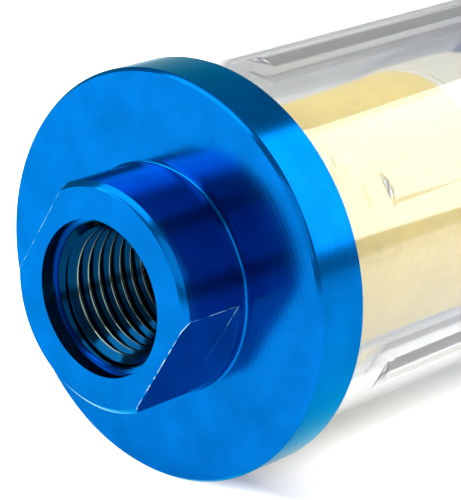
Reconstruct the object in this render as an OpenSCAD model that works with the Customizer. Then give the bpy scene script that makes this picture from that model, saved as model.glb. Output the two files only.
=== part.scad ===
// Small in-line magnetic filter: a clear ribbed tube between two anodised aluminium caps.
// A porous element and a magnet core hang from the inlet cap, and the outlet is a swivel nipple.
// The origin is the centre of the inlet port's mouth. +Y runs along the axis from inlet to outlet.
// Radii and places along the axis are in millimetres, and profiles are lists of [radius, place].

/* [Inlet port] */
// Diameter of the port's thread at its crests, 11.44 for G1/4
port_d = 11.44; // [11.2:0.02:11.6]
// Diameter of the seat for a sealing washer in the port's mouth
seat_d = 14.3; // [13.8:0.1:14.8]
// Depth of that seat
seat_depth = 1.6; // [1:0.1:2]
// Where the port's thread ends, from its mouth
thread_end = 13.2; // [12.6:0.1:13.4]

/* [Caps] */
// Diameter of both caps
cap_d = 38; // [37:0.5:42]
// Thickness of the inlet cap's flange
flange_len = 5.6; // [5:0.1:7]
// Thickness of the outlet cap's flange, which also holds the vent
outlet_flange_len = 12; // [11.5:0.1:14]
// Chamfer on the caps' edges
cap_edge = 0.3; // [0.1:0.1:0.6]

/* [Hubs] */
// Diameter of both hubs
hub_d = 21; // [20:0.1:24]
// Length of the inlet hub
hub_len = 7.6; // [7:0.1:9]
// Length of the outlet hub
outlet_hub_len = 9; // [9:0.1:11]
// Distance across the two spanner flats
flats_across = 17.4; // [17:0.1:19]
// Full round left between the flats and the flange
flats_collar = 1; // [0.5:0.1:2]
// Angle of the flats about the axis, from +X towards +Z
flats_angle = 147; // [0:1:180]

/* [Tube] */
// Outside diameter of the clear tube
tube_d = 34.8; // [34.4:0.1:35]
// Wall of the clear tube
tube_wall = 2.6; // [2.2:0.1:2.8]
// Length of tube that shows between the caps
tube_show = 52.8; // [50:0.2:80]
// Depth of thread that holds the tube in a cap
tube_grip = 3; // [2.5:0.1:3.2]
// Number of grip ribs
rib_count = 6; // [3:1:12]
// Width of a rib
rib_w = 2.2; // [1.5:0.1:3]
// Height of a rib above the tube
rib_h = 0.3; // [0.25:0.05:0.6]
// Bare tube between a cap and the end of a rib
rib_gap = 7.3; // [4:0.1:12]
// Angle of the first rib about the axis, from +X towards +Z
rib_angle = 30; // [0:1:59]

/* [Element] */
// Outside diameter of the porous element
element_d = 24.4; // [22:0.1:24.4]
// Bore of the porous element
element_bore = 17.4; // [17.4:0.1:18.4]
// Length of the porous element
element_len = 26; // [25:0.5:32]
// Thickness of every flat gasket on the element
gasket_t = 1; // [0.6:0.1:1.2]

/* [Magnet core] */
// Outside diameter of the magnets' sleeve
sleeve_d = 9; // [8.8:0.1:10]
// Number of ring magnets, each of which has a node
magnet_count = 3; // [3:3]
// Thickness of a soft-iron pole piece
pole_t = 1; // [0.8:0.1:1.2]
// Diameter of the tie rod's shank
rod_d = 2.9; // [2.6:0.1:3]

/* [Swivel nipple] */
// Outside diameter of the nipple's thread, 13.16 for G1/4
nipple_d = 13.16; // [13:0.02:13.3]
// Bore of the nipple
nipple_bore = 5.8; // [5:0.1:6]
// Distance across the nipple's hexagon
nipple_hex = 17; // [17:1:19]
// Length of the hexagon
nipple_hex_len = 5; // [4:0.5:8]
// Length of the thread, with its relief
nipple_thread_len = 10.2; // [9:0.1:12]

/* [Air vent] */
// Diameter of the vent's shank
vent_d = 5; // [5:0.1:5.4]

/* [Hidden] */

$fn = 96;
fit = 0.05;             // radial clearance of a piece that turns or slides in another
cap_r = cap_d / 2;
hub_r = hub_d / 2;
hub_edge = 0.5;
face_edge = 0.4;        // length of the chamfer round a flange's outer face
shut_edge = 0.1;        // edge of a flange on the side towards the tube

// Caps and tube along the axis
wall_t = 1.8;                               // metal in front of the inlet cap's recess
inlet_floor = hub_len + wall_t;             // bottom of the recess that takes the tube
inlet_rear = hub_len + flange_len;          // rear face of the inlet flange
tube_gasket_t = inlet_rear - tube_grip - inlet_floor;
tube_start = inlet_floor + tube_gasket_t;
outlet_front = inlet_rear + tube_show;
tube_end = outlet_front + tube_grip;
outlet_floor = tube_end + tube_gasket_t;
outlet_rear = outlet_front + outlet_flange_len;
outlet_end = outlet_rear + outlet_hub_len;
recess_r = tube_d / 2 - 0.4;                // thread that holds the tube, at its pitch line
neck_r = recess_r - fit;
bore_r = tube_d / 2 - tube_wall;
collar_h = 0.15;                            // the tube's end collars stand this far proud
collar_len = 2.6;

// Element and magnet core along the axis
shoulder_r = 11;                            // step that the element's front gasket rests on
boss_r = element_bore / 2 - 0.1;
element_start = inlet_rear + gasket_t;
element_end = element_start + element_len;
core_end = element_end + gasket_t;
spider_r = 6.55;
rod_head_len = 1.2;
spider_start = thread_end + rod_head_len + 0.2;
spider_len = 2;
boss_end = spider_start + spider_len + 1.8;
throat_r = 5;                               // waist between the port's thread and the spider
rod_r = rod_d / 2;
plug_t = 1;
sleeve_r = sleeve_d / 2;
sleeve_wall = 0.4;
sleeve_start = spider_start + spider_len + plug_t;
sleeve_end = core_end - plug_t;
stack_start = sleeve_start + plug_t;
stack_len = sleeve_end - plug_t - stack_start;
magnet_len = (stack_len - (magnet_count + 1) * pole_t) / magnet_count;
magnet_r = sleeve_r - sleeve_wall - 0.1;
cap_web = 3;                                // thickness of the element end cap's web
cap_len = 12;                               // length of the element end cap behind the element
nut_start = core_end + cap_web + 0.6;
nut_len = 3;

// Swivel along the axis
spigot_r = 5;
spigot_start = outlet_rear - 1.6;
seat_y = outlet_rear + 3;                   // seat of the thrust washer
washer_t = 0.5;
collar_r = 6.9;
collar_start = seat_y + washer_t + fit;
collar_end = collar_start + 1.95;
clip_start = collar_end + 0.1;
clip_t = 1;
clip_r = 7.45;
nipple_neck_r = 5.4;
hex_start = outlet_end + 0.8;
nipple_thread_start = hex_start + nipple_hex_len;
nipple_end = nipple_thread_start + nipple_thread_len;
o_ring_r = 0.52;                            // section of the swivel's O-ring
o_ring_y = spigot_start + 2.35;

// Vent, across the axis at the top of the outlet cap
vent_y = outlet_floor + 3.4;
vent_r = vent_d / 2;
vent_seat_z = cap_r - 0.6;                  // flat that the vent's hexagon sits on
vent_foot_z = vent_seat_z - 6;
vent_top_z = vent_seat_z + 1.4;
vent_pocket_z = vent_foot_z + 3.6;
vent_pocket_r = 1.9;
stem_r = 0.93;
button_z = vent_top_z - 0.2;

// Turns a drawing made along +Z so that it lies along +Y
module along() {
    rotate([-90, 0, 0]) children();
}

// A turned piece from its profile
module turned(profile) {
    along() rotate_extrude() polygon(profile);
}

// A plain ring or washer
module ring(outer_r, inner_r, start, length) {
    turned([[inner_r, start], [outer_r, start], [outer_r, start + length], [inner_r, start + length]]);
}

// Two flats across a hub, from one place to another, as the metal that is milled away
module flats(start, end) {
    for (side = [0, 180])
        rotate([0, -flats_angle - side, 0])
            translate([flats_across / 2, start, -cap_r])
                cube([cap_r, end - start, cap_d]);
}

// A hexagonal bar along the axis with both ends turned down at 30 degrees
module hexagon(across, start, length) {
    corner_r = across / 2 / cos(30);
    edge = (corner_r - across / 2) * tan(30);
    along() intersection() {
        translate([0, 0, start]) cylinder(r = corner_r, h = length, $fn = 6);
        rotate_extrude() polygon([
            [0, start],
            [across / 2, start],
            [corner_r, start + edge],
            [corner_r, start + length - edge],
            [across / 2, start + length],
            [0, start + length]]);
    }
}

module inlet_cap() {
    color("royalblue") difference() {
        turned([
            [seat_d / 2, 0],
            [hub_r - hub_edge, 0],
            [hub_r, hub_edge],
            [hub_r, hub_len],
            [cap_r - cap_edge, hub_len],
            [cap_r, hub_len + face_edge],
            [cap_r, inlet_rear - shut_edge],
            [cap_r - shut_edge, inlet_rear],
            [recess_r, inlet_rear],
            [recess_r, inlet_floor],
            [shoulder_r, inlet_floor],
            [shoulder_r, inlet_rear],
            [boss_r, inlet_rear],
            [boss_r, boss_end],
            [spider_r + fit, boss_end],
            [spider_r + fit, spider_start],
            [throat_r, spider_start],
            [throat_r, thread_end],
            [port_d / 2, thread_end],
            [port_d / 2, seat_depth],
            [seat_d / 2, seat_depth]]);
        flats(-1, hub_len - flats_collar);
    }
}

module inlet_gasket() {
    color("dimgray") ring(neck_r - 0.05, bore_r + 0.1, inlet_floor, tube_gasket_t);
}

// One grip rib: a long pad with round ends that stands on the tube
module rib() {
    rib_len = tube_show - 2 * rib_gap;
    translate([tube_d / 2 - 0.4, 0, inlet_rear + rib_gap]) rotate([0, 90, 0])
        linear_extrude(rib_h + 0.4) {
            translate([-rib_len + rib_w / 2, -rib_w / 2]) square([rib_len - rib_w, rib_w]);
            translate([-rib_w / 2, 0]) circle(d = rib_w, $fn = 32);
            translate([-rib_len + rib_w / 2, 0]) circle(d = rib_w, $fn = 32);
        }
}

module clear_tube() {
    tube_r = tube_d / 2;
    color("white", 0.4) {
        turned([
            [bore_r, tube_start],
            [neck_r, tube_start],
            [neck_r, inlet_rear + 0.1],
            [tube_r + collar_h, inlet_rear + 0.1],
            [tube_r + collar_h, inlet_rear + collar_len],
            [tube_r, inlet_rear + collar_len],
            [tube_r, outlet_front - collar_len],
            [tube_r + collar_h, outlet_front - collar_len],
            [tube_r + collar_h, outlet_front - 0.1],
            [neck_r, outlet_front - 0.1],
            [neck_r, tube_end],
            [bore_r, tube_end]]);
        for (k = [0 : rib_count - 1])
            along() rotate([0, 0, -rib_angle - k * 360 / rib_count]) rib();
    }
}

module filter_element() {
    color("khaki") ring(element_d / 2, element_bore / 2, element_start, element_len);
}

module element_front_gasket() {
    color("dimgray") ring(element_d / 2, boss_r + 0.05, inlet_rear, gasket_t);
}

module element_rear_gasket() {
    color("dimgray") ring(element_d / 2, boss_r + 0.05, element_end, gasket_t);
}

// Cup that closes the element: a web, a spigot in the element's bore and a skirt round the nut
module element_end_cap() {
    outer_r = element_d / 2 + 0.3;
    skirt_t = 1.4;
    round_r = 8;
    end_y = core_end + cap_len;
    bend = [for (a = [0 : 9 : 45])
        [outer_r - round_r * (1 - cos(a)), end_y - round_r * (sin(45) - sin(a))]];
    color("ivory") turned(concat(
        [[rod_r + 0.1, core_end],
        [boss_r - 1.2, core_end],
        [boss_r - 1.2, element_end - 2.5],
        [boss_r, element_end - 2.5],
        [boss_r, core_end],
        [outer_r, core_end]],
        bend,
        [[outer_r - round_r * (1 - cos(45)) - skirt_t, end_y],
        [outer_r - skirt_t - 1, end_y - round_r * sin(45) / 2],
        [outer_r - skirt_t, core_end + cap_web],
        [rod_r + 0.1, core_end + cap_web]]));
}

module core_spider() {
    arm_w = 1.6;
    hub = 2.9;
    rim = 0.95;
    color("goldenrod") {
        ring(spider_r, spider_r - rim, spider_start, spider_len);
        ring(hub, rod_r + fit, spider_start, spider_len);
        for (k = [0 : 2])
            rotate([0, k * 120, 0])
                translate([hub - 0.3, spider_start, -arm_w / 2])
                    cube([spider_r - rim - hub + 0.6, spider_len, arm_w]);
    }
}

module tie_rod() {
    head_r = 2.5;
    head_y = spider_start - rod_head_len;
    slot_w = 0.8;
    slot_depth = 0.6;
    color("silver") difference() {
        turned([
            [0, head_y],
            [head_r, head_y],
            [head_r, spider_start],
            [rod_r, spider_start],
            [rod_r, nut_start + nut_len + 0.6],
            [rod_r - 0.4, nut_start + nut_len + 1],
            [0, nut_start + nut_len + 1]]);
        translate([-head_r, head_y - 1, -slot_w / 2])
            cube([2 * head_r, 1 + slot_depth, slot_w]);
    }
}

module magnet_sleeve() {
    color("silver") ring(sleeve_r, sleeve_r - sleeve_wall, sleeve_start, sleeve_end - sleeve_start);
}

// A plug that closes one end of the sleeve: a flange outside it and a spigot inside
module sleeve_plug(face, inward) {
    bore = rod_r + 0.1;
    spigot = sleeve_r - sleeve_wall - fit;
    color("silver") turned([
        [bore, face - inward * plug_t],
        [sleeve_r, face - inward * plug_t],
        [sleeve_r, face],
        [spigot, face],
        [spigot, face + inward * plug_t],
        [bore, face + inward * plug_t]]);
}

module sleeve_front_plug() {
    sleeve_plug(sleeve_start, 1);
}

module sleeve_rear_plug() {
    sleeve_plug(sleeve_end, -1);
}

module magnet(index) {
    start = stack_start + index * magnet_len + (index + 1) * pole_t;
    color("gainsboro") ring(magnet_r, rod_r + 0.15, start, magnet_len);
}

module magnet_1() {
    magnet(0);
}

module magnet_2() {
    magnet(1);
}

module magnet_3() {
    magnet(2);
}

module pole_pieces() {
    for (k = [0 : magnet_count])
        color("gray") ring(magnet_r, rod_r + 0.15, stack_start + k * (magnet_len + pole_t), pole_t);
}

module core_washer() {
    color("silver") ring(3, rod_r + fit, core_end + cap_web, 0.6);
}

module core_nut() {
    color("silver") difference() {
        hexagon(5.5, nut_start, nut_len);
        along() translate([0, 0, nut_start - 1]) cylinder(r = rod_r + fit, h = nut_len + 2);
    }
}

module outlet_cap() {
    color("royalblue") difference() {
        turned([
            [recess_r, outlet_front],
            [cap_r - shut_edge, outlet_front],
            [cap_r, outlet_front + shut_edge],
            [cap_r, outlet_rear - face_edge],
            [cap_r - cap_edge, outlet_rear],
            [hub_r, outlet_rear],
            [hub_r, outlet_end - hub_edge],
            [hub_r - hub_edge, outlet_end],
            [collar_r + 0.1, outlet_end],
            [collar_r + 0.1, clip_start + clip_t + fit],
            [clip_r + fit, clip_start + clip_t + fit],
            [clip_r + fit, clip_start - fit],
            [collar_r + 0.1, clip_start - fit],
            [collar_r + 0.1, seat_y],
            [spigot_r + fit, seat_y],
            [spigot_r + fit, spigot_start - 0.2],
            [spigot_r - 0.5, spigot_start - 0.2],
            [spigot_r - 0.5, outlet_floor],
            [recess_r, outlet_floor]]);
        flats(outlet_rear + flats_collar, outlet_end + 1);
        translate([0, vent_y, 0]) cylinder(r = vent_r, h = cap_d);
        translate([0, vent_y, vent_seat_z]) cylinder(r = 4, h = cap_d);
    }
}

module outlet_gasket() {
    color("dimgray") ring(neck_r - 0.05, bore_r + 0.1, tube_end, tube_gasket_t);
}

module swivel_nipple() {
    relief_r = nipple_d / 2 - 1;
    groove_r = spigot_r - 2 * o_ring_r - 0.01;
    bore = nipple_bore / 2;
    color("silver") {
        turned([
            [bore, spigot_start],
            [spigot_r - 0.4, spigot_start],
            [spigot_r, spigot_start + 0.4],
            [spigot_r, o_ring_y - 0.95],
            [groove_r, o_ring_y - 0.95],
            [groove_r, o_ring_y + 0.95],
            [spigot_r, o_ring_y + 0.95],
            [spigot_r, collar_start],
            [collar_r, collar_start],
            [collar_r, collar_end],
            [nipple_neck_r, collar_end],
            [nipple_neck_r, hex_start + 0.5],
            [relief_r, nipple_thread_start - 0.5],
            [relief_r, nipple_thread_start + 1.5],
            [nipple_d / 2, nipple_thread_start + 1.5],
            [nipple_d / 2, nipple_end - 0.8],
            [nipple_d / 2 - 0.8, nipple_end],
            [bore, nipple_end]]);
        difference() {
            hexagon(nipple_hex, hex_start, nipple_hex_len);
            along() translate([0, 0, hex_start - 1]) cylinder(r = bore, h = nipple_hex_len + 2);
        }
    }
}

module swivel_seal() {
    color("dimgray") along() translate([0, 0, o_ring_y]) rotate_extrude()
        translate([spigot_r - o_ring_r, 0]) circle(r = o_ring_r, $fn = 24);
}

module thrust_washer() {
    color("white") ring(collar_r, spigot_r + 0.1, seat_y, washer_t);
}

// Circlip: a flat ring with a gap, and an eye at each end for pliers
module swivel_clip() {
    inner = nipple_neck_r + 0.35;
    color("silver") along() translate([0, 0, clip_start]) difference() {
        linear_extrude(clip_t) difference() {
            circle(r = clip_r);
            circle(r = inner);
            polygon([[0, 0], [clip_r * 2, -clip_r * 0.6], [clip_r * 2, clip_r * 0.6]]);
        }
        for (side = [-1, 1])
            rotate([0, 0, side * 26]) translate([(inner + clip_r) / 2, 0, -1])
                cylinder(r = 0.4, h = 3, $fn = 24);
    }
}

module vent_body() {
    hex_r = 3 / cos(30);
    color("goldenrod") translate([0, vent_y, 0]) difference() {
        union() {
            translate([0, 0, vent_foot_z]) cylinder(r = vent_r - fit, h = vent_seat_z - vent_foot_z);
            translate([0, 0, vent_seat_z]) cylinder(r = hex_r, h = vent_top_z - vent_seat_z, $fn = 6);
        }
        translate([0, 0, vent_foot_z - 1]) cylinder(r = stem_r + 0.07, h = 9);
        translate([0, 0, vent_pocket_z]) cylinder(r = vent_pocket_r, h = 9);
    }
}

// Stem and button in one, with a foot that carries the seal
module vent_stem() {
    button_len = 1.8;
    foot_t = 0.8;
    seal_t = 0.8;
    foot_z = vent_foot_z - seal_t - foot_t;
    color("goldenrod") translate([0, vent_y, 0]) {
        translate([0, 0, foot_z]) cylinder(r = stem_r, h = button_z - foot_z + 0.1);
        translate([0, 0, foot_z]) cylinder(r = vent_pocket_r, h = foot_t);
        translate([0, 0, button_z]) rotate_extrude() polygon([
            [0, 0],
            [vent_pocket_r - 0.1, 0],
            [vent_pocket_r - 0.1, button_len - 0.4],
            [vent_pocket_r - 0.5, button_len],
            [0, button_len]]);
    }
}

module vent_seal() {
    color("dimgray") translate([0, vent_y, vent_foot_z - 0.8]) difference() {
        cylinder(r = vent_pocket_r + 0.1, h = 0.8);
        translate([0, 0, -1]) cylinder(r = stem_r + 0.02, h = 3);
    }
}

// Coil spring as a ring of wire sections swept up a helix
module vent_spring() {
    wire_r = 0.18;
    coil_r = 1.45;
    turns = 4;
    steps = 16;
    sides = 8;
    rise = button_z - vent_pocket_z - 2 * wire_r - 0.04;
    last = turns * steps;
    function wire_point(k, s) =
        let (a = 360 * k / steps, t = 360 * s / sides, r = coil_r + wire_r * cos(t))
        [r * cos(a), r * sin(a), wire_r + 0.02 + rise * k / last + wire_r * sin(t)];
    points = [for (k = [0 : last]) for (s = [0 : sides - 1]) wire_point(k, s)];
    walls = [for (k = [0 : last - 1]) for (s = [0 : sides - 1])
        let (n = (s + 1) % sides)
        [k * sides + s, k * sides + n, (k + 1) * sides + n, (k + 1) * sides + s]];
    ends = [
        [for (s = [0 : sides - 1]) sides - 1 - s],
        [for (s = [0 : sides - 1]) last * sides + s]];
    color("silver") translate([0, vent_y, vent_pocket_z])
        polyhedron(points, concat(walls, ends), convexity = 6);
}

inlet_cap();
inlet_gasket();
clear_tube();
filter_element();
element_front_gasket();
element_rear_gasket();
element_end_cap();
core_spider();
tie_rod();
magnet_sleeve();
sleeve_front_plug();
sleeve_rear_plug();
magnet_1();
magnet_2();
magnet_3();
pole_pieces();
core_washer();
core_nut();
outlet_cap();
outlet_gasket();
swivel_nipple();
swivel_seal();
thrust_washer();
swivel_clip();
vent_body();
vent_stem();
vent_spring();
vent_seal();
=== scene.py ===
"""Magnetic system filter: its looks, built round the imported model."""

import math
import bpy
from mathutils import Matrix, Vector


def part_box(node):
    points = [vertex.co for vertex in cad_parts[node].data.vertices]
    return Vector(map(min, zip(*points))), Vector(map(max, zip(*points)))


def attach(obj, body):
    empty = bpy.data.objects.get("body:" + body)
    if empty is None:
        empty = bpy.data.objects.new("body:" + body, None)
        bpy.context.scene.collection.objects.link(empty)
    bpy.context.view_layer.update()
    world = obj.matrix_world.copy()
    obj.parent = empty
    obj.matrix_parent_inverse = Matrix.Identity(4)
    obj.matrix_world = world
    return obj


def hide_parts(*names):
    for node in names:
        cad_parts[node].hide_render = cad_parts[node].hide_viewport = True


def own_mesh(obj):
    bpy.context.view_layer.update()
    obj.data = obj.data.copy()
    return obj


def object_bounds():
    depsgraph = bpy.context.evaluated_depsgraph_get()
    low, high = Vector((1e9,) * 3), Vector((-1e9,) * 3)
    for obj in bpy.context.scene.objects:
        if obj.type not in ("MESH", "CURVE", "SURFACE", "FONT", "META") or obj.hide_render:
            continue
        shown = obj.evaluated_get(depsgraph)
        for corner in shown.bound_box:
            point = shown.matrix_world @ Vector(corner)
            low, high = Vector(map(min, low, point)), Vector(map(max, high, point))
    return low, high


bl_info = {
    "name": "Magnetic System Filter",
    "version": (1, 0, 0),
    "blender": (4, 5, 0),
    "location": "3D View > Sidebar > Filter",
    "description": "Builds the caps, tube, cartridge, magnet core, swivel and vent of a filter",
    "category": "Add Mesh",
}

import bmesh
import bpy
from bpy.props import FloatProperty, FloatVectorProperty, IntProperty, PointerProperty
from mathutils import Matrix, Vector

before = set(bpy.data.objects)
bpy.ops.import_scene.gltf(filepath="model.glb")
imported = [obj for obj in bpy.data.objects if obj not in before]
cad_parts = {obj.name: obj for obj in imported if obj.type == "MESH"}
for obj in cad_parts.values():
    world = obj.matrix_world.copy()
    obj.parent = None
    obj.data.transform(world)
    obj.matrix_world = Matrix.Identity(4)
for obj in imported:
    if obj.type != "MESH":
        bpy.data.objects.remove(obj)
CAD_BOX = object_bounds()

AXIS = Vector((0, 1, 0))
TURN = 2 * math.pi
TOUCH = 0.002  # mm within which two points are one
PORT_CREST = 5.72  # mm from the axis to the crests of the port's thread
VENT_PLACE = 73.2  # mm along the axis to the vent
LAPS = 192  # steps round a turned piece

# One pitch of a pipe thread as (share of the pitch, share of the depth), crest to crest
THREAD_FORM = (
    (0.0, 0.0), (0.06, 0.03), (0.12, 0.12), (0.38, 0.88), (0.44, 0.97),
    (0.5, 1.0), (0.56, 0.97), (0.62, 0.88), (0.88, 0.12), (0.94, 0.03), (1.0, 0.0),
)


def mm(value):
    """Millimetres as metres."""
    return value * 0.001


def linear(code):
    """A colour's sRGB hex value as linear red, green and blue."""
    shares = [int(code[i:i + 2], 16) / 255 for i in (1, 3, 5)]
    return tuple(s / 12.92 if s <= 0.04045 else ((s + 0.055) / 1.055) ** 2.4 for s in shares)


def opaque(colour):
    """A linear colour with full alpha, as a colour socket takes it."""
    return (*colour, 1.0)


# ---------------------------------------------------------------- shaping


def profile_loop(bm, profile, closed=True):
    """Draws a profile of (radius, place) pairs, in mm, beside the axis."""
    verts = [bm.verts.new((mm(radius), mm(place), 0)) for radius, place in profile]
    ends = verts[1:] + verts[:1] if closed else verts[1:]
    edges = [bm.edges.new(pair) for pair in zip(verts, ends)]
    return verts + edges


def spin(bm, geom, steps=LAPS):
    """Turns drawn edges once round the axis."""
    bmesh.ops.spin(bm, geom=geom, cent=(0, 0, 0), axis=AXIS, dvec=(0, 0, 0),
                   angle=TURN, steps=steps, use_merge=True)
    bmesh.ops.remove_doubles(bm, verts=bm.verts, dist=mm(TOUCH))


def turned(profile, steps=LAPS, closed=True):
    """A new mesh turned from one profile, its faces outwards."""
    bm = bmesh.new()
    spin(bm, profile_loop(bm, profile, closed), steps)
    bmesh.ops.recalc_face_normals(bm, faces=bm.faces)
    return bm


def sharp_edges(bm, angle=20, test=None):
    """The edges between faces that meet at more than an angle, in degrees."""
    return [
        e for e in bm.edges
        if len(e.link_faces) == 2 and e.calc_face_angle() > math.radians(angle)
        and (test is None or test(e))
    ]


def round_off(bm, edges, width, segments=2):
    """Breaks edges by a width in mm, and gives back the new faces."""
    made = bmesh.ops.bevel(bm, geom=edges, offset=mm(width), offset_type="OFFSET",
                           segments=segments, profile=0.5, affect="EDGES", material=-1,
                           clamp_overlap=True, loop_slide=True)
    return made["faces"]


def middle(item):
    """The middle of an edge, or of a face."""
    if isinstance(item, bmesh.types.BMEdge):
        return (item.verts[0].co + item.verts[1].co) / 2
    return item.calc_center_median()


def radius_of(point):
    """A point's distance from the axis, in mm."""
    return math.hypot(point.x, point.z) * 1000


def cut(bm, faces, point, normal):
    """Cuts faces along a plane and keeps both sides."""
    geom = set(faces)
    for f in faces:
        geom.update(f.edges)
        geom.update(f.verts)
    bmesh.ops.bisect_plane(bm, geom=list(geom), dist=mm(TOUCH) / 20, plane_co=point, plane_no=normal)


def mill(bm, normal, reach, low, high, inner, ledge=None):
    """Mills a flat square to a direction, reach mm from the axis, between two places.

    A ledge is the place where the cutter stops short of one end of that length.
    """
    normal = Vector(normal).normalized()

    def zone():
        return [f for f in bm.faces
                if low < middle(f).y * 1000 < high and radius_of(middle(f)) > inner]

    if ledge is not None:
        cut(bm, zone(), (0, mm(ledge), 0), AXIS)
        low, high = (low, ledge) if ledge - low > high - ledge else (ledge, high)
    cut(bm, zone(), normal * mm(reach), normal)
    waste = [f for f in zone() if middle(f).dot(normal) > mm(reach + TOUCH)]
    bmesh.ops.delete(bm, geom=waste, context="FACES")

    def on_flat(v):
        return abs(v.co.dot(normal) - mm(reach)) < mm(TOUCH)

    def loose(test):
        return [e for e in bm.edges
                if len(e.link_faces) < 2 and all(test(v) for v in e.verts)
                and low - TOUCH <= middle(e).y * 1000 <= high + TOUCH
                and radius_of(middle(e)) > inner - 1]

    if ledge is not None:
        corners = [v for v in bm.verts if on_flat(v) and abs(v.co.y - mm(ledge)) < mm(TOUCH)]
        if len(corners) != 2:
            raise RuntimeError(f"a flat has {len(corners)} corners at its ledge")
        bm.edges.new(corners)
    bmesh.ops.contextual_create(bm, geom=loose(on_flat))
    if ledge is not None:
        bmesh.ops.contextual_create(bm, geom=loose(
            lambda v: abs(v.co.y - mm(ledge)) < mm(TOUCH) and v.co.dot(normal) > mm(reach - TOUCH)))
    bmesh.ops.recalc_face_normals(bm, faces=bm.faces)


def add_thread(bm, crest, root, pitch, start, end, limit, steps=96):
    """Cuts a helical thread between two places and joins it to the edges left open there.

    limit gives the smallest and largest radius at a place, for the lead-in and run-out. The
    new faces are given back.
    """
    spare = 1.3 * pitch
    screw = bmesh.new()
    form = [(crest + (root - crest) * depth, start - spare + share * pitch)
            for share, depth in THREAD_FORM]
    turns = math.ceil((end - start + 2 * spare) / pitch)
    bmesh.ops.spin(screw, geom=profile_loop(screw, form, closed=False), cent=(0, 0, 0), axis=AXIS,
                   dvec=(0, mm(pitch) / steps, 0), angle=TURN * turns, steps=steps * turns)
    bmesh.ops.remove_doubles(screw, verts=screw.verts, dist=mm(TOUCH) / 2)
    for place, side in ((start, -1), (end, 1)):
        bmesh.ops.bisect_plane(screw, geom=screw.verts[:] + screw.edges[:] + screw.faces[:],
                               dist=mm(TOUCH) / 20, plane_co=(0, mm(place), 0),
                               plane_no=AXIS * side, clear_outer=True)
    for v in screw.verts:
        place, radius = v.co.y * 1000, radius_of(v.co)
        least, most = limit(place)
        scale = min(max(radius, least), most) / radius
        v.co.x *= scale
        v.co.z *= scale
    bmesh.ops.remove_doubles(screw, verts=screw.verts, dist=mm(TOUCH) / 2)
    mesh = bpy.data.meshes.new("thread")
    screw.to_mesh(mesh)
    screw.free()
    before = set(bm.faces)
    bm.from_mesh(mesh)
    bpy.data.meshes.remove(mesh)
    for place in (start, end):
        edges = [e for e in bm.edges if e.is_boundary
                 and all(abs(v.co.y - mm(place)) < mm(TOUCH) for v in e.verts)]
        bmesh.ops.bridge_loops(bm, edges=edges)
    return [f for f in bm.faces if f not in before]


def subtract(bm, cutter):
    """Takes one closed mesh out of another, and gives back the rest as a new bmesh."""
    made = []
    for part in (bm, cutter):
        mesh = bpy.data.meshes.new("blank")
        part.to_mesh(mesh)
        part.free()
        obj = bpy.data.objects.new("blank", mesh)
        bpy.context.scene.collection.objects.link(obj)
        made.append(obj)
    work, tool = made
    boolean = work.modifiers.new("cut", "BOOLEAN")
    boolean.operation = "DIFFERENCE"
    boolean.solver = "EXACT"
    boolean.object = tool
    bpy.context.view_layer.update()
    rest = bmesh.new()
    rest.from_object(work, bpy.context.evaluated_depsgraph_get())
    for obj in made:
        mesh = obj.data
        bpy.data.objects.remove(obj)
        bpy.data.meshes.remove(mesh)
    return rest


def shaft(radius, low, high, centre, steps=64):
    """A plain bar square to the axis, along Z, as a cutter or a pin."""
    bm = bmesh.new()
    bmesh.ops.create_cone(bm, cap_ends=True, segments=steps, radius1=mm(radius),
                          radius2=mm(radius), depth=mm(high - low))
    bmesh.ops.translate(bm, verts=bm.verts, vec=(0, mm(centre), mm((low + high) / 2)))
    return bm


def stand_up(bm, centre):
    """Swings a mesh turned round the axis so that its +Y points up at a place along the axis."""
    bmesh.ops.rotate(bm, verts=bm.verts, cent=(0, 0, 0), matrix=Matrix.Rotation(math.pi / 2, 3, "X"))
    bmesh.ops.translate(bm, verts=bm.verts, vec=(0, mm(centre), 0))


def finish_piece(bm, node, body, slot, *more):
    """Makes the mesh the piece that replaces a CAD node, with its body and its finishes."""
    name = node + "_finished"
    bmesh.ops.remove_doubles(bm, verts=bm.verts, dist=mm(TOUCH) / 2)
    bmesh.ops.recalc_face_normals(bm, faces=bm.faces)
    gaps = sum(1 for e in bm.edges if not e.is_manifold)
    if gaps:
        print(f"NOTE {name}: {gaps} edges are open")
    for f in bm.faces:
        f.smooth = True
    mesh = bpy.data.meshes.new(name)
    bm.to_mesh(mesh)
    bm.free()
    mesh.set_sharp_from_angle(angle=math.radians(40))
    for key in (slot, *more):
        mesh.materials.append(finish(key))
    piece = bpy.data.objects.new(name, mesh)
    bpy.context.scene.collection.objects.link(piece)
    weighted = piece.modifiers.new("even_normals", "WEIGHTED_NORMAL")
    weighted.keep_sharp = True
    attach(piece, body)
    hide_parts(node)
    low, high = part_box(node)
    spare = mm(0.3)
    for axis in range(3):
        values = [v.co[axis] for v in mesh.vertices]
        if min(values) < low[axis] - spare or max(values) > high[axis] + spare:
            raise RuntimeError(f"{name} stands outside the space of {node}")
    return piece


def refinish(node, name):
    """Gives a CAD node that keeps its shape a finish."""
    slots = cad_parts[node].data.materials
    slots.clear()
    slots.append(finish(name))


def span(node):
    """A CAD node's first and last place along the axis, and its radius, in mm."""
    low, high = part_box(node)
    return low.y * 1000, high.y * 1000, high.x * 1000


# ---------------------------------------------------------------- finishes


def add(tree, kind, values=None, **settings):
    """Adds a node with its settings, and fills or links its sockets."""
    made = tree.nodes.new(kind)
    for key, value in settings.items():
        setattr(made, key, value)
    for socket, value in (values or {}).items():
        if isinstance(value, bpy.types.NodeSocket):
            tree.links.new(value, made.inputs[socket])
        else:
            made.inputs[socket].default_value = value
    return made


def material(name):
    """An empty node material of that name."""
    made = bpy.data.materials.new(name)
    made.use_nodes = True
    made.node_tree.nodes.clear()
    return made


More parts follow.
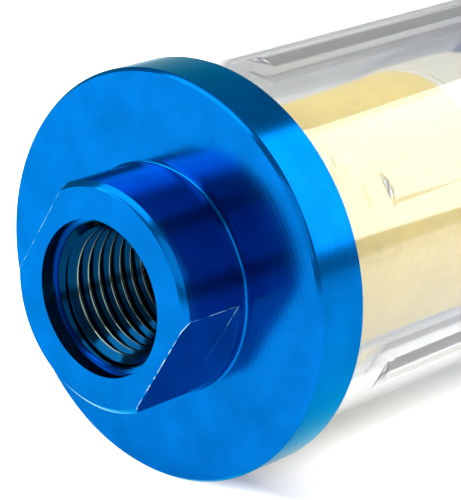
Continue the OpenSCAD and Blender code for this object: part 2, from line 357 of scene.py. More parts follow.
def lathe_place(tree):
    """A point's distance from the axis plus its place along it, in mm: even along a tool mark."""
    place = add(tree, "ShaderNodeTexCoord").outputs["Object"]
    across = add(tree, "ShaderNodeVectorMath", {0: place, 1: (1, 0, 1)}, operation="MULTIPLY")
    radius = add(tree, "ShaderNodeVectorMath", {0: across.outputs[0]}, operation="LENGTH")
    along = add(tree, "ShaderNodeVectorMath", {0: place, 1: AXIS}, operation="DOT_PRODUCT")
    total = add(tree, "ShaderNodeMath", {0: radius.outputs["Value"], 1: along.outputs["Value"]})
    scaled = add(tree, "ShaderNodeMath", {0: total.outputs[0], 1: 1000.0}, operation="MULTIPLY")
    return scaled.outputs[0]


def anodised_aluminium(name, colour, rough=0.17, crest=None):
    """Dyed anodised aluminium off a lathe: a mirror under a clear blue skin.

    The eye gets a deep blue that turns pale at a glancing angle, fine rings left by the
    tool, a soft patchiness of the dye, and bare bright metal where an edge is broken. On a
    thread the crests, which begin at a radius in mm, are painted straw pale: a painted highlight.
    """
    made = material(name)
    tree = made.node_tree
    place = add(tree, "ShaderNodeTexCoord").outputs["Object"]
    rings = lathe_place(tree)
    # Tool marks 0.2 mm apart: the real ones are finer, and wouldn't show
    fine = add(tree, "ShaderNodeTexNoise", {"W": rings, "Scale": 5.0, "Detail": 3.0},
               noise_dimensions="1D")
    # The dye is patchy over about 4 mm
    broad = add(tree, "ShaderNodeTexNoise", {"Vector": place, "Scale": 260.0, "Detail": 4.0})
    shade = add(tree, "ShaderNodeMapRange", {
        "Value": broad.outputs["Fac"], "From Min": 0.3, "From Max": 0.7, "To Min": 0.84, "To Max": 1.1})
    dyed = add(tree, "ShaderNodeVectorMath", {0: colour, "Scale": shade.outputs[0]}, operation="SCALE")
    # Chips in the skin along an edge are 0.3 to 1 mm long
    chips = add(tree, "ShaderNodeTexNoise", {"Vector": place, "Scale": 1100.0, "Detail": 2.0})
    chipped = add(tree, "ShaderNodeMapRange", {
        "Value": chips.outputs["Fac"], "From Min": 0.42, "From Max": 0.58})
    worn = add(tree, "ShaderNodeAttribute", attribute_name="bare_edge")
    bare = add(tree, "ShaderNodeMath", {0: chipped.outputs[0], 1: worn.outputs["Fac"]},
               operation="MULTIPLY")
    tint = add(tree, "ShaderNodeMix", {
        "Factor": bare.outputs[0], "A": dyed.outputs[0], "B": opaque(linear("#8FA9B8"))},
        data_type="RGBA")
    skin = tint.outputs["Result"]
    # Painted highlight: within 0.12 mm of the crests' radius the thread turns straw pale, standing in
    # for the glint along its crests
    if crest is not None:
        across = add(tree, "ShaderNodeVectorMath", {0: place, 1: (1000, 0, 1000)}, operation="MULTIPLY")
        radius = add(tree, "ShaderNodeVectorMath", {0: across.outputs[0]}, operation="LENGTH")
        crest_painted_highlight = add(tree, "ShaderNodeMapRange", {
            "Value": radius.outputs["Value"], "From Min": crest, "From Max": crest + 0.12,
            "To Min": 0.75, "To Max": 0.0}, interpolation_type="SMOOTHSTEP")
        skin = add(tree, "ShaderNodeMix", {
            "Factor": crest_painted_highlight.outputs[0], "A": skin, "B": opaque(linear("#93A184"))},
            data_type="RGBA").outputs["Result"]
    gloss = add(tree, "ShaderNodeMapRange", {
        "Value": fine.outputs["Fac"], "From Min": 0.3, "From Max": 0.7,
        "To Min": rough - 0.03, "To Max": rough + 0.04})
    bump = add(tree, "ShaderNodeBump", {
        "Height": fine.outputs["Fac"], "Strength": 0.22, "Distance": mm(0.01)})
    shader = add(tree, "ShaderNodeBsdfPrincipled", {
        "Base Color": skin, "Metallic": 1.0, "Roughness": gloss.outputs[0],
        "Specular Tint": (0.45, 0.9, 1.0, 1.0), "Normal": bump.outputs[0]})
    add(tree, "ShaderNodeOutputMaterial", {"Surface": shader.outputs[0]})
    return made


def metal(name, colour, rough, marks, depth):
    """A turned or ground metal in its own colour, with that many tool marks in a mm.

    The eye gets a sharp reflection drawn out across the marks, and a slightly uneven tone.
    """
    made = material(name)
    tree = made.node_tree
    rings = lathe_place(tree)
    fine = add(tree, "ShaderNodeTexNoise", {"W": rings, "Scale": marks, "Detail": 3.0},
               noise_dimensions="1D")
    broad = add(tree, "ShaderNodeTexNoise", {
        "Vector": add(tree, "ShaderNodeTexCoord").outputs["Object"], "Scale": 300.0, "Detail": 4.0})
    shade = add(tree, "ShaderNodeMapRange", {
        "Value": broad.outputs["Fac"], "From Min": 0.3, "From Max": 0.7, "To Min": 0.9, "To Max": 1.05})
    tint = add(tree, "ShaderNodeVectorMath", {0: colour, "Scale": shade.outputs[0]}, operation="SCALE")
    gloss = add(tree, "ShaderNodeMapRange", {
        "Value": fine.outputs["Fac"], "From Min": 0.3, "From Max": 0.7,
        "To Min": rough * 0.8, "To Max": rough * 1.25})
    bump = add(tree, "ShaderNodeBump", {
        "Height": fine.outputs["Fac"], "Strength": depth, "Distance": mm(0.01)})
    shader = add(tree, "ShaderNodeBsdfPrincipled", {
        "Base Color": tint.outputs[0], "Metallic": 1.0, "Roughness": gloss.outputs[0],
        "Normal": bump.outputs[0]})
    add(tree, "ShaderNodeOutputMaterial", {"Surface": shader.outputs[0]})
    return made


def moulded(name, colour, rough, grain, depth, variation, subsurface=0.0):
    """A moulded or porous plastic, or a rubber, with grain of a size in mm.

    The eye gets a soft, wide highlight broken by the grain, and a tone that drifts over 8 mm.
    """
    made = material(name)
    tree = made.node_tree
    place = add(tree, "ShaderNodeTexCoord").outputs["Object"]
    fine = add(tree, "ShaderNodeTexNoise", {"Vector": place, "Scale": 1000 / grain / 2, "Detail": 3.0})
    broad = add(tree, "ShaderNodeTexNoise", {"Vector": place, "Scale": 120.0, "Detail": 2.0})
    mixed = add(tree, "ShaderNodeMath", {0: fine.outputs["Fac"], 1: broad.outputs["Fac"]})
    shade = add(tree, "ShaderNodeMapRange", {
        "Value": mixed.outputs[0], "From Min": 0.7, "From Max": 1.3,
        "To Min": 1 - variation, "To Max": 1 + variation})
    tint = add(tree, "ShaderNodeVectorMath", {0: colour, "Scale": shade.outputs[0]}, operation="SCALE")
    gloss = add(tree, "ShaderNodeMapRange", {
        "Value": fine.outputs["Fac"], "From Min": 0.3, "From Max": 0.7,
        "To Min": rough * 0.9, "To Max": min(1.0, rough * 1.15)})
    bump = add(tree, "ShaderNodeBump", {
        "Height": fine.outputs["Fac"], "Strength": depth, "Distance": mm(grain / 3)})
    shader = add(tree, "ShaderNodeBsdfPrincipled", {
        "Base Color": tint.outputs[0], "Roughness": gloss.outputs[0], "IOR": 1.5,
        "Normal": bump.outputs[0], "Subsurface Weight": subsurface, "Subsurface Scale": mm(0.6)})
    add(tree, "ShaderNodeOutputMaterial", {"Surface": shader.outputs[0]})
    return made


def clear_polycarbonate(name):
    """Moulded clear polycarbonate: bright hard reflections, bent edges and faint flow lines.

    A trace of haze fills its dark reflections. The ribs' sides are whitened as a painted highlight,
    between thin grey lines of painted shade where they meet the wall and the rib's top.
    """
    made = material(name)
    tree = made.node_tree
    place = add(tree, "ShaderNodeTexCoord").outputs["Object"]
    flow = add(tree, "ShaderNodeMapping", {"Vector": place, "Scale": (1.0, 0.12, 1.0)})
    waves = add(tree, "ShaderNodeTexNoise", {"Vector": flow.outputs[0], "Scale": 220.0, "Detail": 1.0})
    bump = add(tree, "ShaderNodeBump", {
        "Height": waves.outputs["Fac"], "Strength": 0.12, "Distance": mm(0.05)})
    # Painted highlight: the ribs' sides turn milky white, standing in for the bright reflections along
    # them
    rib_painted_highlight = add(tree, "ShaderNodeAttribute", attribute_name="rib_painted_highlight")
    clear = add(tree, "ShaderNodeMapRange", {
        "Value": rib_painted_highlight.outputs["Fac"], "To Min": 0.94, "To Max": 0.45})
    # Painted shade: thin grey lines where each rib meets the wall and where it meets its top
    corner = add(tree, "ShaderNodeAttribute", attribute_name="corner")
    shade = add(tree, "ShaderNodeMix", {
        "Factor": corner.outputs["Fac"], "A": opaque(linear("#D6D8D9")),
        "B": opaque(linear("#6F7077"))}, data_type="RGBA")
    glass = add(tree, "ShaderNodeBsdfPrincipled", {
        "Base Color": shade.outputs["Result"], "Roughness": 0.05, "IOR": 1.585,
        "Transmission Weight": clear.outputs[0], "Normal": bump.outputs[0]})
    lit = add(tree, "ShaderNodeBsdfTransparent", {"Color": opaque(linear("#F4F5F6"))})
    ray = add(tree, "ShaderNodeLightPath")
    both = add(tree, "ShaderNodeMixShader", {
        0: ray.outputs["Is Shadow Ray"], 1: glass.outputs[0], 2: lit.outputs[0]})
    add(tree, "ShaderNodeOutputMaterial", {"Surface": both.outputs[0]})
    return made


FINISHES = {}


def finish(name):
    """The finish of that name, made once from the colours of the panel."""
    if name not in FINISHES:
        colours = bpy.context.scene.filter_colours
        makers = {
            "blue_anodised": lambda: anodised_aluminium("anodised_aluminium", colours.caps),
            # The thread finish's darker colour is painted shade for the port's bore
            "blue_thread": lambda: anodised_aluminium(
                "anodised_thread", colours.threads, 0.12, PORT_CREST),
            "clear_polycarbonate": lambda: clear_polycarbonate("clear_polycarbonate"),
            "yellow_porous_plastic": lambda: moulded(
                "sintered_polyethylene", colours.element, 0.75, 0.35, 0.6, 0.12, subsurface=0.1),
            "ivory_plastic": lambda: moulded(
                "ivory_abs", colours.end_cap, 0.42, 0.5, 0.08, 0.03, subsurface=0.1),
            "black_rubber": lambda: moulded("nitrile_rubber", linear("#1B1C1E"), 0.6, 0.2, 0.15, 0.15),
            "white_silicone": lambda: moulded(
                "white_silicone", linear("#D8D5C6"), 0.5, 0.3, 0.05, 0.03, subsurface=0.2),
            "white_ptfe": lambda: moulded("ptfe", linear("#EDEDEA"), 0.45, 0.3, 0.08, 0.03),
            "turned_brass": lambda: metal("turned_brass", linear("#D9AE62"), 0.24, 6.0, 0.2),
            "stainless_steel": lambda: metal("stainless_steel", linear("#A3A29E"), 0.27, 8.0, 0.2),
            "plated_magnet": lambda: metal("nickel_plated_magnet", linear("#C4C2BB"), 0.16, 3.0, 0.05),
            "soft_iron": lambda: metal("soft_iron", linear("#85837F"), 0.4, 6.0, 0.25),
            "nickel_plated_brass": lambda: metal(
                "nickel_plated_brass", linear("#A8A59C"), 0.15, 5.0, 0.12),
            "spring_steel": lambda: metal("spring_steel", linear("#9C9B98"), 0.25, 8.0, 0.1),
        }
        FINISHES[name] = makers[name]()
    return FINISHES[name]


# ---------------------------------------------------------------- sizes and colours


def length(name, description, value):
    """A length property from its default in mm."""
    return FloatProperty(name=name, description=description, default=mm(value), min=0.0, unit="LENGTH")


def colour(name, description, code):
    """A colour property from its sRGB hex default."""
    return FloatVectorProperty(name=name, description=description, default=linear(code),
                               min=0.0, max=1.0, size=3, subtype="COLOR")


class FilterColours(bpy.types.PropertyGroup):
    """Colours of the filter's main finishes"""

    caps: colour("Caps", "Dye of the anodised caps", "#014F90")
    # Painted shade: the threads take the caps' blue darkened nearly to black, standing in for the shade
    # inside the port
    threads: colour("Threads", "Dye inside the threaded ports", "#01223C")
    element: colour("Element", "Colour of the porous element", "#E6C95A")
    end_cap: colour("End cap", "Colour of the element's end cap", "#D9D4C0")


class FilterSizes(bpy.types.PropertyGroup):
    """Sizes that the caps, tube and threads share"""

    hub_radius: length("Hub radius", "Radius of each cap's hub", 10.5)
    flats: length("Across flats", "Width across the spanner flats", 17.4)
    edge: length("Broken edge", "Width of the broken edges on the caps", 0.1)
    port_pitch: length("Port pitch", "Pitch of the pipe thread in the port", 1.337)
    port_depth: length("Thread depth", "Depth of the pipe thread", 0.856)
    rib_height: length("Rib height", "How far the grip ribs stand proud of the tube", 0.3)
    ribs: IntProperty(name="Ribs", description="Number of grip ribs round the tube", default=6, min=2)
    flats_angle: FloatProperty(name="Flats angle", description="Turn of the flats round the axis",
                               default=math.radians(147), subtype="ANGLE")


def sizes():
    """The shared sizes."""
    return bpy.context.scene.filter_sizes


def mill_flats(bm, low, high, inner, ledge):
    """Mills a cap's two spanner flats and breaks all its edges, bare where they meet a flat."""
    s = sizes()
    edge = s.edge * 1000
    way = Vector((math.cos(s.flats_angle), 0, math.sin(s.flats_angle)))
    for normal in (way, -way):
        mill(bm, normal, s.flats * 500, low, high, inner, ledge)
    bare = bm.faces.layers.float.new("bare_edge")

    def on_flat(e):
        return abs(abs(middle(e).dot(way)) - s.flats / 2) < mm(0.01)

    for f in round_off(bm, sharp_edges(bm, 15, on_flat), edge):
        f[bare] = 1.0
    round_off(bm, sharp_edges(bm, 22), edge)


# ---------------------------------------------------------------- pieces


class FILTER_OT_inlet_cap(bpy.types.Operator):
    """Builds the inlet cap, with its flats and threaded port"""

    bl_idname = "filter.inlet_cap"
    bl_label = "Inlet cap"

    def execute(self, context):
        s = sizes()
        hub, pitch, depth = s.hub_radius * 1000, s.port_pitch * 1000, s.port_depth * 1000
        start, end = 1.6, 13.2
        rear, shut = span("element_front_gasket")[0], 0.1
        floor, spider, boss = span("inlet_gasket")[0], span("core_spider")[0], span("inlet_cap")[1]
        bm = turned([
            (6.75, start), (7.15, start), (7.15, 0), (hub - 0.5, 0), (hub, 0.5), (hub, 7.35),
            (hub + 0.07, 7.53), (hub + 0.25, 7.6), (18.7, 7.6), (19, 8), (19, rear - shut),
            (19 - shut, rear), (17, rear), (17, floor), (11, floor), (11, rear), (8.6, rear),
            (8.6, boss), (6.6, boss), (6.6, spider), (5, spider), (5, end), (5.45, end)], closed=False)
        mill_flats(bm, -1, 7.3, 7.3, 6.6)

        def limit(place):
            lead = 6.62 - (place - start) * 0.9
            runout = PORT_CREST + max(0.0, end - 0.9 - place) * 1.4
            return max(PORT_CREST, lead), max(PORT_CREST, min(7.0, runout))

        for f in add_thread(bm, PORT_CREST, PORT_CREST + depth, pitch, start, end, limit):
            f.material_index = 1
        finish_piece(bm, "inlet_cap", "inlet_head", "blue_anodised", "blue_thread")
        return {"FINISHED"}


class FILTER_OT_outlet_cap(bpy.types.Operator):
    """Builds the outlet cap, with its flats, swivel bore and vent seat"""

    bl_idname = "filter.outlet_cap"
    bl_label = "Outlet cap"

    def execute(self, context):
        hub = sizes().hub_radius * 1000
        bm = turned([
            (17, 66), (18.9, 66), (19, 66.1), (19, 77.6), (18.7, 78), (hub + 0.25, 78),
            (hub + 0.07, 78.07), (hub, 78.25), (hub, 86.5), (hub - 0.5, 87), (7, 87), (7, 84.65),
            (7.5, 84.65), (7.5, 83.55), (7, 83.55), (7, 81), (5.05, 81), (5.05, 76.2), (4.5, 76.2),
            (4.5, 69.8), (17, 69.8)])
        mill_flats(bm, 78.3, 88, 7.6, 79)
        bm = subtract(bm, shaft(4, 18.4, 25, VENT_PLACE, 96))
        bm = subtract(bm, shaft(2.5, 3, 25, VENT_PLACE))
        finish_piece(bm, "outlet_cap", "bowl", "blue_anodised")
        return {"FINISHED"}


class FILTER_OT_clear_tube(bpy.types.Operator):
    """Builds the clear tube, with its grip ribs and plain necks"""

    bl_idname = "filter.clear_tube"
    bl_label = "Clear tube"

    def execute(self, context):
        s = sizes()
        rib_turn = TURN / s.ribs
        first_end, last_end, _ = span("clear_tube")
        neck = span("element_front_gasket")[0] + 0.1
        shoulder = last_end - 3.1
        rib_start, rib_end = neck + 7.2, shoulder - 7.2
        fine = [0.1 * k for k in range(15)]
        middle_rows = [rib_start + (rib_end - rib_start) * share for share in (0.1, 0.3, 0.5, 0.7, 0.9)]
        rows = ([rib_start - 0.5] + [rib_start - 0.15 + y for y in fine] + middle_rows
                + [rib_end + 0.15 - y for y in reversed(fine)] + [rib_end + 0.5])
        bore, spigot, outside, collar = 14.8, 16.95, 17.4, 17.55
        profile = ([(bore, first_end), (spigot, first_end), (spigot, neck), (collar, neck),
                    (collar, neck + 2.5), (outside, neck + 2.5)]
                   + [(outside, y) for y in rows]
                   + [(outside, shoulder - 2.5), (collar, shoulder - 2.5), (collar, shoulder),
                      (spigot, shoulder), (spigot, last_end), (bore, last_end)])
        bm = bmesh.new()
        geom = profile_loop(bm, profile)
        # Each rib lies in a finely divided strip, as far as half to each side of its middle
        rib_angle, half = math.radians(30), math.radians(4.4)
        turn = Matrix.Rotation(rib_turn - rib_angle - half, 3, "Y")
        bmesh.ops.rotate(bm, verts=bm.verts, cent=(0, 0, 0), matrix=turn)
        for _ in range(s.ribs):
            for angle, steps in ((-2 * half, 44), (2 * half - rib_turn, 16)):
                made = bmesh.ops.spin(bm, geom=geom, cent=(0, 0, 0), axis=AXIS, dvec=(0, 0, 0),
                                      angle=angle, steps=steps)
                geom = made["geom_last"]
        bmesh.ops.remove_doubles(bm, verts=bm.verts, dist=mm(TOUCH))
        bmesh.ops.recalc_face_normals(bm, faces=bm.faces)
        round_off(bm, sharp_edges(bm, 25), 0.09)
        height = s.rib_height * 1000
        half_width, side, inset = 1.16, 0.42, 1.1
        rib_painted_highlight = bm.verts.layers.float.new("rib_painted_highlight")
        corner = bm.verts.layers.float.new("corner")
        for v in bm.verts:
            radius, place = radius_of(v.co), v.co.y * 1000
            if abs(radius - outside) > 0.01 or not rib_start - 1 < place < rib_end + 1:
                continue
            angle = math.atan2(v.co.z, v.co.x) - rib_angle
            off = (angle + rib_turn / 2) % rib_turn - rib_turn / 2
            across = abs(off) * radius
            past = max(0.0, rib_start + inset - place, place - rib_end + inset)
            share = min(max((half_width - math.hypot(across, past)) / side, 0.0), 1.0)
            scale = (radius + height * share * share * (3 - 2 * share)) / radius
            # Painted highlight on the ribs' sides, strongest halfway up each slope
            v[rib_painted_highlight] = 4 * share * (1 - share)
            # Painted shade along the rib's foot and top
            v[corner] = 1.0 if 0 < share < 0.3 or 0.75 < share < 1 else 0.0
            v.co.x *= scale
            v.co.z *= scale
        finish_piece(bm, "clear_tube", "bowl", "clear_polycarbonate")
        return {"FINISHED"}


class FILTER_OT_cartridge(bpy.types.Operator):
    """Builds the porous element, its gaskets and its end cap"""

    bl_idname = "filter.cartridge"
    bl_label = "Cartridge"

    def execute(self, context):
        start, end, outer = span("filter_element")
        element = turned([(8.7, start), (outer - 0.9, start), (outer, end), (8.7, end)])
        round_off(element, sharp_edges(element), 0.25, 3)
        finish_piece(element, "filter_element", "inlet_head", "yellow_porous_plastic")
        for name in ("element_front_gasket", "element_rear_gasket"):
            start, end, outer = span(name)
            gasket = turned([(8.65, start), (outer, start), (outer, end), (8.65, end)])
            round_off(gasket, sharp_edges(gasket), 0.3, 3)
            finish_piece(gasket, name, "inlet_head", "white_silicone")
        start, end, outer = span("element_end_cap")
        web = span("element_rear_gasket")[1]
        bend = [(outer - 8 * (1 - math.cos(a)), end - 8 * (math.sin(math.pi / 4) - math.sin(a)))
                for a in (math.radians(9 * k) for k in range(6))]
        rim = bend[-1][0]
        cup = turned([(1.55, web), (7.4, web), (7.4, start), (8.6, start), (8.6, web), (outer, web)]
                     + bend
                     + [(rim - 1.4, end), (9.8, end - 2.8), (10.8, web + 3), (1.55, web + 3)])
        round_off(cup, sharp_edges(cup, 25), 0.2, 3)
        finish_piece(cup, "element_end_cap", "inlet_head", "ivory_plastic")
        return {"FINISHED"}


def hexagon_cuts(bm, across, low, high, inner):
    """Mills six flats round the axis."""
    for k in range(6):
        angle = math.radians(60 * k + 30)
        mill(bm, (math.cos(angle), 0, math.sin(angle)), across / 2, low, high, inner)


class FILTER_OT_magnet_core(bpy.types.Operator):
    """Builds the magnet core: spider, rod, sleeve, plugs, washer and nut"""

    bl_idname = "filter.magnet_core"
    bl_label = "Magnet core"

    def execute(self, context):
        ring = turned([(5.6, 14.6), (6.55, 14.6), (6.55, 16.6), (5.6, 16.6)])
        boss = turned([(1.5, 14.6), (2.9, 14.6), (2.9, 16.6), (1.5, 16.6)], 96)
        mesh = bpy.data.meshes.new("boss")
        boss.to_mesh(mesh)
        boss.free()
        ring.from_mesh(mesh)
        bpy.data.meshes.remove(mesh)
        for k in range(3):
            arm = bmesh.ops.create_cube(ring, size=1.0)["verts"]
            bmesh.ops.scale(ring, verts=arm, vec=(mm(3.2), mm(1.9), mm(1.6)))
            bmesh.ops.translate(ring, verts=arm, vec=(mm(4.2), mm(15.6), 0))
            bmesh.ops.rotate(ring, verts=arm, cent=(0, 0, 0),
                             matrix=Matrix.Rotation(TURN * k / 3, 3, "Y"))
        round_off(ring, sharp_edges(ring, 30), 0.12)
        finish_piece(ring, "core_spider", "inlet_head", "turned_brass")

        start, end, _ = span("tie_rod")
        under = span("core_spider")[0]
        rod = turned([(0, start), (2.5, start), (2.5, under), (1.45, under), (1.45, end - 0.4),
                      (1.05, end), (0, end)], 96, closed=False)
        round_off(rod, sharp_edges(rod, 25), 0.12)
        slot = bmesh.new()
        bmesh.ops.create_cube(slot, size=1.0)
        bmesh.ops.scale(slot, verts=slot.verts, vec=(mm(6), mm(1.2), mm(0.8)))
        bmesh.ops.translate(slot, verts=slot.verts, vec=(0, mm(start), 0))
        rod = subtract(rod, slot)
        finish_piece(rod, "tie_rod", "inlet_head", "stainless_steel")

        start, end, outer = span("magnet_sleeve")
        tube = turned([(4.1, start), (outer, start), (outer, end), (4.1, end)], 128)
        round_off(tube, sharp_edges(tube), 0.08)
        finish_piece(tube, "magnet_sleeve", "inlet_head", "stainless_steel")
        for name, face, inward in (("sleeve_front_plug", start, 1), ("sleeve_rear_plug", end, -1)):
            plug = turned([(1.55, face - inward), (4.5, face - inward), (4.5, face), (4.05, face),
                           (4.05, face + inward), (1.55, face + inward)], 128)
            round_off(plug, sharp_edges(plug), 0.1)
            finish_piece(plug, name, "inlet_head", "stainless_steel")

        start, end, outer = span("core_washer")
        washer = turned([(1.5, start), (outer, start), (outer, end), (1.5, end)], 96)
        round_off(washer, sharp_edges(washer), 0.08)
        finish_piece(washer, "core_washer", "inlet_head", "stainless_steel")
        start, end, corner = span("core_nut")
        nut = turned([(1.5, start), (2.65, start), (corner, start + 0.3), (corner, end - 0.3),
                      (2.65, end), (1.5, end)], 96)
        hexagon_cuts(nut, 5.5, start - 0.1, end + 0.1, 1.8)
        round_off(nut, sharp_edges(nut, 25), 0.06)
        finish_piece(nut, "core_nut", "inlet_head", "stainless_steel")
        for node in ("magnet_1", "magnet_2", "magnet_3"):
            refinish(node, "plated_magnet")
        refinish("pole_pieces", "soft_iron")
        return {"FINISHED"}


class FILTER_OT_swivel(bpy.types.Operator):
    """Builds the swivel nipple, its O-ring, thrust washer and circlip"""

    bl_idname = "filter.swivel"
    bl_label = "Swivel"

    def execute(self, context):
        s = sizes()
        pitch, depth = s.port_pitch * 1000, s.port_depth * 1000
        crest, start, end = 6.58, 94.4, 102.6
        corner = 8.5 / math.cos(math.pi / 6)
        bm = turned([
            (5.65, end), (5.6, 103), (2.9, 103), (2.9, 76.4), (4.6, 76.4), (5, 76.8), (5, 77.8),
            (3.95, 77.8), (3.95, 79.7), (5, 79.7), (5, 81.55), (6.9, 81.55), (6.9, 83.5), (5.4, 83.5),
            (5.4, 87.8), (8.3, 87.8), (corner, 88.55), (corner, 92.05), (8.3, 92.8), (5.6, 92.8),
            (5.6, start), (5.65, start)], closed=False)
        hexagon_cuts(bm, 17, 87.7, 92.9, 7)
        round_off(bm, sharp_edges(bm, 22), 0.1)

        def limit(place):
            lead = 6.0 + end - place
            runout = PORT_CREST + (place - start) * 0.9
            return 5.6, min(crest, lead, runout)

        add_thread(bm, crest, crest - depth, pitch, start, end, limit)
        finish_piece(bm, "swivel_nipple", "swivel", "nickel_plated_brass")

        seal = bmesh.new()
        bmesh.ops.create_circle(seal, segments=24, radius=mm(0.52))
        bmesh.ops.translate(seal, verts=seal.verts, vec=(mm(4.48), mm(78.75), 0))
        spin(seal, seal.verts[:] + seal.edges[:], 128)
        finish_piece(seal, "swivel_seal", "swivel", "black_rubber")
        washer = turned([(5.1, 81), (6.9, 81), (6.9, 81.5), (5.1, 81.5)])
        round_off(washer, sharp_edges(washer), 0.06)
        finish_piece(washer, "thrust_washer", "bowl", "white_ptfe")

        clip = bmesh.new()
        gap = math.radians(26 + 6)
        verts = profile_loop(clip, [(5.75, 83.6), (7.45, 83.6), (7.45, 84.6), (5.75, 84.6)])
        face = clip.faces.new([v for v in verts if isinstance(v, bmesh.types.BMVert)])
        bmesh.ops.rotate(clip, verts=clip.verts, cent=(0, 0, 0), matrix=Matrix.Rotation(gap, 3, "Y"))
        bmesh.ops.spin(clip, geom=clip.verts[:] + clip.edges[:] + [face], cent=(0, 0, 0), axis=AXIS,
                       dvec=(0, 0, 0), angle=TURN - 2 * gap, steps=150)
        bmesh.ops.recalc_face_normals(clip, faces=clip.faces)
        round_off(clip, sharp_edges(clip, 40), 0.1)
        finish_piece(clip, "swivel_clip", "bowl", "spring_steel")
        return {"FINISHED"}


class FILTER_OT_vent(bpy.types.Operator):
    """Builds the air vent: body, stem with its button, spring and seal"""

    bl_idname = "filter.vent"
    bl_label = "Air vent"

    def execute(self, context):
        corner = 3 / math.cos(math.pi / 6)
        body = turned([(1.0, 12.4), (2.45, 12.4), (2.45, 18.4), (2.9, 18.4), (corner, 18.75),
                       (corner, 19.45), (2.9, 19.8), (1.9, 19.8), (1.9, 16), (1.0, 16)], 96)
        hexagon_cuts(body, 6, 18.3, 19.9, 2.5)
        round_off(body, sharp_edges(body, 22), 0.08)
        stand_up(body, VENT_PLACE)
        finish_piece(body, "vent_body", "bowl", "turned_brass")
        stem = turned([(0, 10.8), (1.9, 10.8), (1.9, 11.6), (0.93, 11.6), (0.93, 19.6), (1.8, 19.6),
                       (1.8, 21.4), (0, 21.4)], 64, closed=False)
        round_off(stem, sharp_edges(stem, 25), 0.18, 3)
        stand_up(stem, VENT_PLACE)
        finish_piece(stem, "vent_stem", "vent_button", "turned_brass")
        seal = turned([(0.95, 11.6), (2.0, 11.6), (2.0, 12.4), (0.95, 12.4)], 64)
        round_off(seal, sharp_edges(seal), 0.2, 3)
        stand_up(seal, VENT_PLACE)
        finish_piece(seal, "vent_seal", "vent_button", "black_rubber")
        # The spring stands on the body's step; the button's travel, which would close it, is not
        # applied
        wire, coil, foot, rise, travel = 0.18, 1.45, 16.0, 3.2, 0.8
        turns, steps = 4, 24
        spring = bmesh.new()
        bmesh.ops.create_circle(spring, cap_ends=True, segments=12, radius=mm(wire))
        bmesh.ops.translate(spring, verts=spring.verts, vec=(mm(coil), mm(foot + wire + 0.02), 0))
        bmesh.ops.spin(spring, geom=spring.verts[:] + spring.edges[:] + spring.faces[:], cent=(0, 0, 0),
                       axis=AXIS, dvec=(0, mm(rise / turns / steps), 0), angle=TURN * turns,
                       steps=turns * steps)
        stand_up(spring, VENT_PLACE)
        piece = finish_piece(spring, "vent_spring", "bowl", "spring_steel")
        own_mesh(piece)
        return {"FINISHED"}


class FILTER_OT_tube_seals(bpy.types.Operator):
    """Builds the flat gaskets at the two ends of the tube"""

    bl_idname = "filter.tube_seals"
    bl_label = "Tube gaskets"

    def execute(self, context):
        for node, body in (("inlet_gasket", "tube_gasket"), ("outlet_gasket", "bowl")):
            start, end, outer = span(node)
            gasket = turned([(14.9, start), (outer, start), (outer, end), (14.9, end)])
            round_off(gasket, sharp_edges(gasket), 0.2, 3)
            finish_piece(gasket, node, body, "black_rubber")
        return {"FINISHED"}


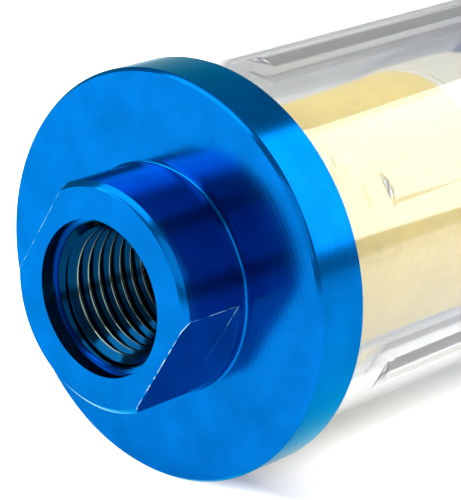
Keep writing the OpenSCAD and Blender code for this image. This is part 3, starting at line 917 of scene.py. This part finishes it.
class FILTER_OT_stage(bpy.types.Operator):
    """Builds the floor, the soft lights and the camera"""

    bl_idname = "filter.stage"
    bl_label = "Stage"

    def execute(self, context):
        scene = context.scene
        bm = bmesh.new()
        bmesh.ops.create_circle(bm, cap_ends=True, segments=96, radius=1.5)
        bmesh.ops.translate(bm, verts=bm.verts, vec=(0, 0.05, CAD_BOX[0][2]))
        mesh = bpy.data.meshes.new("floor")
        bm.to_mesh(mesh)
        bm.free()
        floor = bpy.data.objects.new("floor", mesh)
        scene.collection.objects.link(floor)
        made = material("white_card_painted_glow")
        tree = made.node_tree
        place = add(tree, "ShaderNodeTexCoord").outputs["Object"]
        fibre = add(tree, "ShaderNodeTexNoise", {"Vector": place, "Scale": 900.0, "Detail": 2.0})
        tint = add(tree, "ShaderNodeMapRange", {
            "Value": fibre.outputs["Fac"], "To Min": 0.86, "To Max": 0.9})
        # Painted light: the card glows as if lit from below, with painted shade behind the filter and
        # under it
        split = add(tree, "ShaderNodeSeparateXYZ", {0: place})

        def ramp(axis, dark, bright, most):
            return add(tree, "ShaderNodeMapRange", {
                "Value": split.outputs[axis], "From Min": mm(dark), "From Max": mm(bright),
                "To Min": 0.0, "To Max": most}, interpolation_type="SMOOTHSTEP").outputs[0]

        beside = add(tree, "ShaderNodeMath", {0: ramp("X", 2, 14, 0.9), 1: ramp("Y", 8, 26, 1.0)},
                     operation="MULTIPLY").outputs[0]
        painted_glow = ramp("Y", 13, 6, 1.2)
        for other in (ramp("X", -6, -40, 1.0), beside):
            painted_glow = add(tree, "ShaderNodeMath", {0: painted_glow, 1: other}, operation="MAXIMUM").outputs[0]
        away = add(tree, "ShaderNodeVectorMath", {0: place}, operation="LENGTH")
        # The painted glow fades with distance from the filter
        fade = add(tree, "ShaderNodeMapRange", {
            "Value": away.outputs["Value"], "From Min": mm(120), "From Max": mm(320),
            "To Min": 1.0, "To Max": 0.2}, interpolation_type="SMOOTHSTEP")
        painted_glow = add(tree, "ShaderNodeMath", {0: painted_glow, 1: fade.outputs[0]}, operation="MULTIPLY")
        card = add(tree, "ShaderNodeBsdfPrincipled", {
            "Base Color": tint.outputs[0], "Roughness": 0.9, "Specular IOR Level": 0.1,
            "Emission Color": (1.0, 1.0, 1.0, 1.0), "Emission Strength": painted_glow.outputs[0]})
        add(tree, "ShaderNodeOutputMaterial", {"Surface": card.outputs[0]})
        mesh.materials.append(made)

        def softbox(name, way, along, distance, wide, high, brightness):
            light = bpy.data.lights.new(name, "AREA")
            light.shape = "RECTANGLE"
            light.size, light.size_y = wide, high
            light.energy = brightness * math.pi * wide * high
            obj = bpy.data.objects.new(name, light)
            way = Vector(way).normalized()
            side = way.cross(Vector(along)).normalized()
            obj.location = way * distance + Vector((0, mm(40), 0))
            obj.rotation_euler = Matrix((side.cross(way), side, way)).transposed().to_euler()
            obj.visible_camera = False
            scene.collection.objects.link(obj)

        softbox("soft_top", (-0.25, -0.46, 0.84), (1, -0.3, 0), 0.5, 0.46, 0.22, 4.0)
        softbox("soft_back_right", (0.40, 0.72, 0.42), (0.31, 0, -0.27), 0.6, 0.56, 0.34, 4.6)
        softbox("soft_front_left", (-0.50, -0.70, 0.45), (0.7, -0.7, 0), 0.6, 0.36, 0.28, 8.0)
        softbox("soft_front_right", (0.60, -0.70, 0.42), (0.7, 0.7, 0), 0.6, 0.42, 0.36, 1.6)
        softbox("soft_right", (0.82, 0.0, 0.50), (0, 1, 0), 0.6, 0.30, 0.40, 2.6)

        world = bpy.data.worlds.new("studio")
        world.use_nodes = True
        tree = world.node_tree
        tree.nodes.clear()
        back = add(tree, "ShaderNodeBackground", {"Color": (0.98, 0.99, 1.0, 1), "Strength": 0.65})
        add(tree, "ShaderNodeOutputWorld", {"Surface": back.outputs[0]})
        scene.world = world

        camera = bpy.data.objects.new("camera", bpy.data.cameras.new("camera"))
        scene.collection.objects.link(camera)
        camera.data.sensor_width = 36
        camera.data.lens = 182.67
        camera.data.clip_start = 0.01
        camera.location = (mm(149.35), mm(-145.04), mm(73.2))
        look = Vector((-0.643588, 0.698060, -0.313859))
        camera.rotation_euler = look.to_track_quat("-Z", "Y").to_euler()
        scene.camera = camera
        scene.view_settings.view_transform = "Standard"
        return {"FINISHED"}


OPERATORS = (
    FILTER_OT_stage,
    FILTER_OT_inlet_cap,
    FILTER_OT_outlet_cap,
    FILTER_OT_clear_tube,
    FILTER_OT_tube_seals,
    FILTER_OT_cartridge,
    FILTER_OT_magnet_core,
    FILTER_OT_swivel,
    FILTER_OT_vent,
)


class FILTER_PT_panel(bpy.types.Panel):
    """Lists the filter's pieces"""

    bl_label = "Magnetic System Filter"
    bl_space_type = "VIEW_3D"
    bl_region_type = "UI"
    bl_category = "Filter"

    def draw(self, context):
        for group in (context.scene.filter_sizes, context.scene.filter_colours):
            for key in group.bl_rna.properties.keys():
                if key not in ("rna_type", "name"):
                    self.layout.prop(group, key)
        for operator in OPERATORS:
            self.layout.operator(operator.bl_idname)


CLASSES = (FilterSizes, FilterColours, *OPERATORS, FILTER_PT_panel)


def register():
    for cls in CLASSES:
        bpy.utils.register_class(cls)
    bpy.types.Scene.filter_sizes = PointerProperty(type=FilterSizes)
    bpy.types.Scene.filter_colours = PointerProperty(type=FilterColours)


def unregister():
    del bpy.types.Scene.filter_colours
    del bpy.types.Scene.filter_sizes
    for cls in reversed(CLASSES):
        bpy.utils.unregister_class(cls)


def main():
    """Builds every piece in order."""
    register()
    for operator in OPERATORS:
        group, name = operator.bl_idname.split(".")
        getattr(getattr(bpy.ops, group), name)()


if __name__ == "__main__":
    main()
